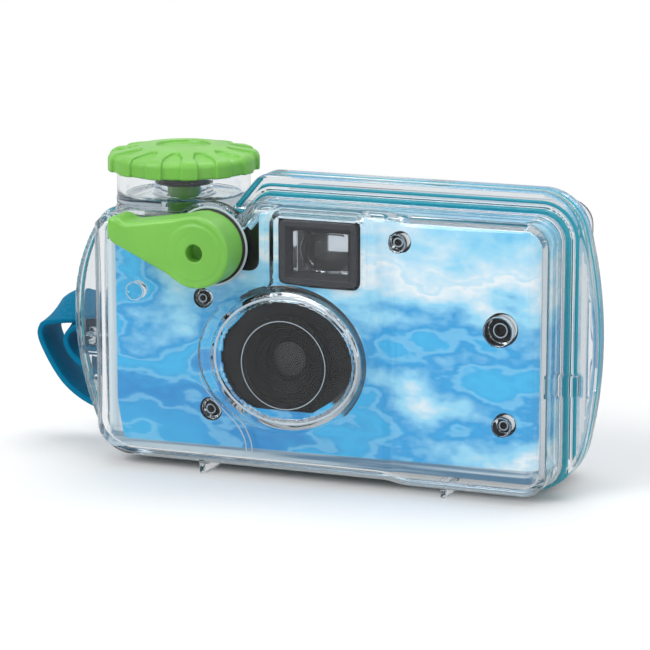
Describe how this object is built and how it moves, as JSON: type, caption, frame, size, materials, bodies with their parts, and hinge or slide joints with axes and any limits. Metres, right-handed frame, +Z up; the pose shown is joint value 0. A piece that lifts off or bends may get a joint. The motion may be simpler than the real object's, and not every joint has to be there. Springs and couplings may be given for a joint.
{
  "type": "disposable film camera",
  "caption": "Waterproof single-use film camera: wrapped inner camera in a clear gasketed housing with a winding knob, a shutter lever and a wrist strap.",
  "frame": {"origin": "bottom centre of the whole assembly's box, on the surface it stands on", "axes": "X to the right seen from the front, Y to the back, Z up; the lens looks along -Y"},
  "size_m": [0.1452, 0.049, 0.0756],
  "materials": {
    "clear_housing": "clear polished polycarbonate",
    "seal_teal": "smooth moulded rubber",
    "strap_teal": "smooth moulded rubber",
    "green_plastic": "satin moulded plastic",
    "black_plastic": "fine matt moulded plastic",
    "black_rubber": "smooth moulded rubber",
    "print": null,
    "optic": "clear moulded lens",
    "steel": "plain sheet and wire",
    "can": "painted sheet",
    "film": "coated film",
    "counter": "plain moulded plastic"
  },
  "bodies": {
    "housing": {"front_shell": "clear_housing", "rear_shell": "clear_housing", "perimeter_gasket": "seal_teal", "knob_seal_ring": "black_rubber", "cartridge_can": "can", "cartridge_end_caps": "black_plastic", "film_strip": "film", "counter_window": "optic", "ratchet_pawl": "black_plastic", "lever_seal_ring": "black_rubber", "lever_return_spring": "steel", "blade_spring": "steel", "striker_spring": "steel", "aperture_plate": "black_plastic", "lens_holder": "black_plastic", "lens_element": "optic", "finder_bezel": "black_plastic", "finder_front_lens": "optic", "finder_eyepiece_lens": "optic", "camera_front_cover": "black_plastic", "camera_rear_cover": "black_plastic", "camera_chassis": "black_plastic", "bottom_doors": "black_plastic", "printed_wrap": "print", "wrist_strap": "strap_teal"},
    "knob": {"advance_knob": "green_plastic", "knob_clip": "steel"},
    "wind_spindle": {"wind_wheel": "black_plastic", "cartridge_spool": "black_plastic"},
    "supply_roll": {"film_roll": "film", "supply_core": "black_plastic"},
    "sprocket": {"sprocket_shaft": "black_plastic"},
    "counter": {"counter_disc": "counter"},
    "lever": {"shutter_lever": "green_plastic", "press_arm": "black_plastic", "press_arm_screw": "steel"},
    "button": {"release_button": "black_plastic"},
    "blade": {"shutter_blade": "steel"},
    "striker": {"shutter_striker": "steel"}
  },
  "joints": [
    {"name": "knob_turn", "type": "hinge", "parent": "housing", "child": "knob", "pos_m": [-0.03345, 0.00605, 0.072], "axis": [0, 0, 1], "continuous": true},
    {"name": "spindle_turn", "type": "hinge", "parent": "housing", "child": "wind_spindle", "pos_m": [-0.03345, 0.00605, 0.055], "axis": [0, 0, 1], "continuous": true},
    {"name": "roll_turn", "type": "hinge", "parent": "housing", "child": "supply_roll", "pos_m": [0.04775, 0.00605, 0.0298], "axis": [0, 0, 1], "continuous": true},
    {"name": "sprocket_turn", "type": "hinge", "parent": "housing", "child": "sprocket", "pos_m": [0.02475, 0.0118, 0.045], "axis": [0, 0, 1], "continuous": true},
    {"name": "counter_turn", "type": "hinge", "parent": "housing", "child": "counter", "pos_m": [0.03075, 0.0056, 0.059], "axis": [0, 0, 1], "continuous": true},
    {"name": "lever_press", "type": "hinge", "parent": "housing", "child": "lever", "pos_m": [-0.01775, -0.01945, 0.0554], "axis": [0, -1, 0], "range_deg": [0, 15], "stiffness_Nm_per_rad": 0.12, "springref_deg": -20.05},
    {"name": "button_press", "type": "slide", "parent": "housing", "child": "button", "axis": [0, 0, -1], "range_m": [0, 0.0024]},
    {"name": "blade_swing", "type": "hinge", "parent": "housing", "child": "blade", "pos_m": [-0.00825, -0.00785, 0.0373], "axis": [0, 1, 0], "range_deg": [0, 40], "stiffness_Nm_per_rad": 0.0004, "springref_deg": -28.65},
    {"name": "striker_swing", "type": "hinge", "parent": "housing", "child": "striker", "pos_m": [-0.01225, -0.00915, 0.0223], "axis": [0, 1, 0], "range_deg": [0, 20], "stiffness_Nm_per_rad": 0.0008, "springref_deg": -28.65}
  ],
  "couplings": [
    {"joint": "spindle_turn", "follows": "knob_turn", "ratio": 1},
    {"joint": "roll_turn", "follows": "knob_turn", "ratio": 0.37},
    {"joint": "sprocket_turn", "follows": "knob_turn", "ratio": 0.733},
    {"joint": "counter_turn", "follows": "knob_turn", "ratio": -0.0262},
    {"joint": "button_press", "follows": "lever_press", "m_per_rad": 0.0087}
  ]
}
